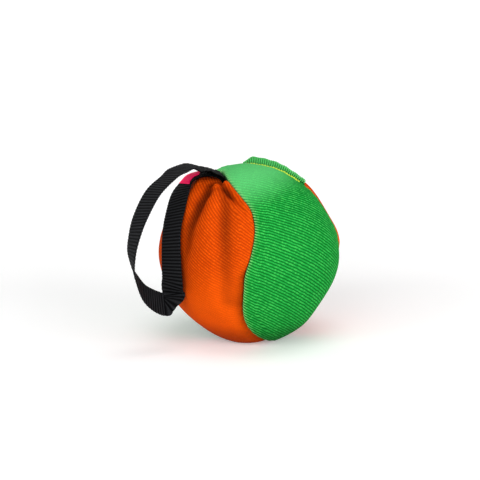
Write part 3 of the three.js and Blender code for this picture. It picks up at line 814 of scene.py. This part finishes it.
def strap_frames(spacing):
    """Evenly spaced middles of the strap, its width and face directions, and where each route row lies."""
    steps = 60
    middles, widths, first_row = strap_route()
    rear = smooth_run(middles - widths * strap_width / 2, steps)
    front = smooth_run(middles + widths * strap_width / 2, steps)
    middle = (rear + front) / 2
    travelled = np.concatenate([[0], np.cumsum(np.linalg.norm(np.diff(middle, axis=0), axis=1))])
    count = int(travelled[-1] / spacing) + 1
    places = np.linspace(0, travelled[-1], count)
    middle, across = (
        np.stack([np.interp(places, travelled, axis) for axis in part.T], axis=1)
        for part in (middle, front - rear)
    )
    tangent = np.gradient(middle, axis=0)
    tangent /= np.linalg.norm(tangent, axis=1, keepdims=True)
    across -= np.sum(across * tangent, axis=1, keepdims=True) * tangent
    across /= np.linalg.norm(across, axis=1, keepdims=True)
    return places, middle, across, np.cross(tangent, across), travelled[first_row * steps::steps]


strap_spacing = 0.28 * MM
strap_places, strap_middle, strap_across, strap_face, row_places = strap_frames(strap_spacing)
strap_corners = 33
flat_side, flat_face = 0.3, 0.55
selvedge_scallop = 0.5 * MM
rib_valley = 0.6
root_shade_from, root_shade_to = 18 * MM, 34 * MM


def strap_mesh():
    """The webbing as a closed flat tube, with ribs across it and a scalloped selvedge on each side."""
    turn = np.linspace(0, 2 * pi, strap_corners)
    side = np.sign(np.cos(turn)) * np.abs(np.cos(turn)) ** flat_side
    up = np.sign(np.sin(turn)) * np.abs(np.sin(turn)) ** flat_face
    rib = np.abs(np.sin(pi * strap_places / strap_rib_pitch)) ** 0.6
    half_width = (strap_width - selvedge_scallop + selvedge_scallop * rib) / 2
    half_thick = strap_thickness / 2 * (rib_valley + (1 - rib_valley) * rib)
    off_middle = np.outer(half_width, side)
    points = (
        strap_middle[:, None]
        + off_middle[..., None] * strap_across[:, None]
        + np.outer(half_thick, up)[..., None] * strap_face[:, None]
    )
    places = np.stack(np.broadcast_arrays(strap_places[:, None], off_middle), axis=-1)
    from_root = np.minimum(strap_places, strap_places[-1] - strap_places)
    # Painted shade: near the root the webbing is painted blacker and without rib highlights.
    painted_light_share = np.broadcast_to(ease(root_shade_from, root_shade_to, from_root)[:, None], off_middle.shape)
    mesh = grid_mesh("strap", points, places, {"painted_light_share": painted_light_share})
    shape = bmesh.new()
    shape.from_mesh(mesh)
    bmesh.ops.remove_doubles(shape, verts=shape.verts, dist=0.001 * MM)
    bmesh.ops.holes_fill(shape, edges=[edge for edge in shape.edges if edge.is_boundary], sides=0)
    bmesh.ops.recalc_face_normals(shape, faces=shape.faces)
    shape.to_mesh(mesh)
    shape.free()
    return mesh


def webbing_material():
    """Black woven webbing: a satin yarn with faint grey painted highlights on the ribs, and painted shade
    near the root.
    """
    strap_yarn = 0.75 * MM
    material, tree, shader = new_material("webbing")
    cloth = add_node(tree, "ShaderNodeUVMap", uv_map="cloth").outputs[0]
    place = add_node(tree, "ShaderNodeSeparateXYZ", {0: cloth}).outputs
    rib, yarn = (
        calc(tree, "ABSOLUTE", calc(tree, "SINE", calc(tree, "MULTIPLY", place[axis], pi / pitch)))
        for axis, pitch in (("X", strap_rib_pitch), ("Y", strap_yarn))
    )
    fuzz = noise(tree, cloth, 1800.0, 2.0)
    painted_light_share = add_node(tree, "ShaderNodeAttribute", attribute_name="painted_light_share").outputs["Fac"]
    # Painted highlight: grey on the rib crowns away from the root, while painted shade leaves the root black.
    crown = calc(tree, "MULTIPLY", calc(tree, "POWER", rib, 3.0), graded(tree, yarn, 0.5, 1))
    lift = calc(tree, "MULTIPLY", calc(tree, "MULTIPLY", crown, painted_light_share), graded(tree, fuzz, 0.1, 1.3))
    dark = mix_colours(tree, painted_light_share, srgb(2, 2, 2), srgb(5, 5, 6))
    colour = mix_colours(tree, lift, dark, srgb(54, 55, 58))
    tree.links.new(colour, shader.inputs["Base Color"])
    tree.links.new(graded(tree, fuzz, 0.5, 0.8), shader.inputs["Roughness"])
    add_bump(tree, shader, calc(tree, "MULTIPLY", yarn, rib), 1.0, 0.15 * MM)
    shader.inputs["Specular IOR Level"].default_value = 0.03
    return material


strap = add_object("webbing_strap", strap_mesh(), webbing_material())
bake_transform(strap)
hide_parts("strap_tails", "strap_loop")

# The label: a small bare tab of pink satin ribbon, sewn flat by its edges to the upper face of the
# strap's lower layer near the root.
label_width = 12 * MM
label_thickness = 0.45 * MM
label_root_width = 7 * MM
label_rear = -6.1 * MM
label_gap = 0.1 * MM
label_bow = 0.35 * MM
label_rows = (1, 3.15)
label_start, label_end = np.interp(label_rows, np.arange(len(row_places)), row_places)
on_label = (strap_places > label_start) & (strap_places < label_end)


def label_mesh():
    """The tab along the strap, a little bowed, with its edges pressed down."""
    across = np.linspace(-1, 1, 25)
    run = np.linspace(-1, 1, int(on_label.sum()))
    lift = strap_thickness / 2 + label_gap + label_bow * np.outer(1 - run**6, 1 - across**4)
    width = label_root_width + (label_width - label_root_width) * ease(-1, 0.8, run)
    off_middle = label_rear + np.outer(width, (across + 1) / 2)
    points = (
        strap_middle[on_label][:, None]
        + off_middle[..., None] * strap_across[on_label][:, None]
        + lift[..., None] * strap_face[on_label][:, None]
    )
    places = np.stack(np.broadcast_arrays(strap_places[on_label][:, None], off_middle), axis=-1)
    return grid_mesh("label", points, places, {})


def label_material():
    """Pink satin ribbon: fine floats along its length, and a little painted light as a glow."""
    material, tree, shader = new_material("label_satin")
    cloth = add_node(tree, "ShaderNodeUVMap", uv_map="cloth").outputs[0]
    height = add_weave(tree, cloth, 0.0, 0.32 * MM, 1.3 * MM, 0.05 * MM)["Height"]
    colour = mix_colours(tree, height, srgb(255, 0, 74), srgb(255, 40, 112))
    tree.links.new(colour, shader.inputs["Base Color"])
    add_bump(tree, shader, height, 0.6, 0.06 * MM)
    # Painted light: the label glows a little, which lifts it out of the shade under the strap.
    tree.links.new(colour, shader.inputs["Emission Color"])
    shader.inputs["Emission Strength"].default_value = 0.32
    shader.inputs["Roughness"].default_value = 0.5
    shader.inputs["Specular IOR Level"].default_value = 0.04
    return material


label = add_object("label_tab_satin", label_mesh(), label_material())
label_wall = label.modifiers.new("ribbon_thickness", "SOLIDIFY")
label_wall.thickness = label_thickness
label_wall.offset = 0
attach(label, "handle")
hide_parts("label_tab")

# The filling: loose polyester fibre pushed in before the closing seam is sewn. It swells behind each gore
# and draws in along the turned-in seams and round the strap's tails.
filling_gap = 2.2 * MM
groove_depth = 5.5 * MM
groove_reach = 4 * MM
tail_room = 9 * MM
tail_room_reach = 0.28
lump_depth = 0.5 * MM
lumps_one_way, lumps_other_way = (31, 17, 11), (-13, 29, 23)


def filling_mesh():
    """A ball of fibre, grooved behind the seams and lumpy all over."""
    shape = bmesh.new()
    bmesh.ops.create_icosphere(shape, subdivisions=6, radius=1)
    own = np.array([vertex.co for vertex in shape.verts])
    lat = np.degrees(np.arcsin(np.clip(own[:, 2], -1, 1)))
    lon = np.degrees(np.arctan2(own[:, 0], -own[:, 1]))
    towards = cloth_direction(lat, lon)
    radius = cloth_radius(lat, lon) - filling_gap
    groove = np.zeros(lat.shape)
    for seam in range(seam_count):
        groove = np.maximum(groove, bell(from_seam(seam, lat, lon), groove_reach))
    near_root = bell(np.linalg.norm(towards - root_normal, axis=1), tail_room_reach)
    radius -= groove_depth * groove + tail_room * near_root
    radius -= lump_depth * (1 + np.sin(towards @ lumps_one_way) * np.sin(towards @ lumps_other_way))
    for vertex, place in zip(shape.verts, ball_centre + radius[:, None] * towards):
        vertex.co = place
    mesh = bpy.data.meshes.new("filling")
    shape.to_mesh(mesh)
    shape.free()
    return mesh


def fibre_material():
    """White polyester fibre: matted strands that cross in every direction."""
    material, tree, shader = new_material("polyester_fibre")
    place = tree.nodes.new("ShaderNodeTexCoord").outputs["Object"]
    strands = noise(tree, place, 900.0, 5.0, Distortion=2.0)
    colour = mix_colours(tree, strands, srgb(205, 202, 194), srgb(250, 248, 244))
    tree.links.new(colour, shader.inputs["Base Color"])
    add_bump(tree, shader, strands, 1.0, 0.8 * MM)
    shader.inputs["Roughness"].default_value = 0.95
    return material


stuffing = add_object("stuffing", filling_mesh(), fibre_material())
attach(stuffing, "ball")
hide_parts("stuffing_core")

# The closing seam's threads: a soft green overlock thread wound over the ridge's cut edges,
# and a yellow needle thread whose stitches run along the foot of the ridge on the green side.
overlock_arches = 62
overlock_steps = 14
overlock_diameter = 0.5 * MM
overlock_out = plain_opening + cloth_thickness + 0.3 * MM
overlock_top = ridge_top + 0.8 * ridge_fade
overlock_span = ridge_top - ridge_end + 1.2 * ridge_fade
overlock_lift = 0.5 * MM
overlock_slack = 0.2 * MM


def overlock_run():
    """One unbroken run that arches over the ridge from side to side."""
    turn = np.linspace(0, overlock_arches * pi, overlock_arches * overlock_steps + 1)
    lat = overlock_top - turn / turn[-1] * overlock_span
    swing = np.cos(turn)
    across = overlock_out * np.clip(2.2 * swing, -1, 1)
    rise = ridge_rise(lat) * ridge_share(lat) + overlock_lift
    up = rise + overlock_slack - (rise - overlock_lift) * np.abs(swing) ** 5
    return beside_seam(closing_seam, lat, across, up)


overlock_green = thread_material("overlock_thread", srgb(36, 160, 66), srgb(112, 226, 126))
overlock_mesh = thread_mesh("overlock", [overlock_run()], overlock_diameter)
overlock = add_object("overlock_winding", overlock_mesh, overlock_green)
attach(overlock, "ball")
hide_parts("closing_overlock_thread")

foot_out = overlock_out + 0.9 * MM
foot_top = ridge_top + ridge_fade / 2
foot_runs = stitch_runs(closing_seam, ridge_end, foot_top, -foot_out, 0.3 * MM, 0.7 * MM)
needle_mesh = thread_mesh("needle", foot_runs, needle_diameter)
needle = add_object("closing_needle_stitches", needle_mesh, needle_yellow)
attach(needle, "ball")
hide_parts("closing_needle_thread")
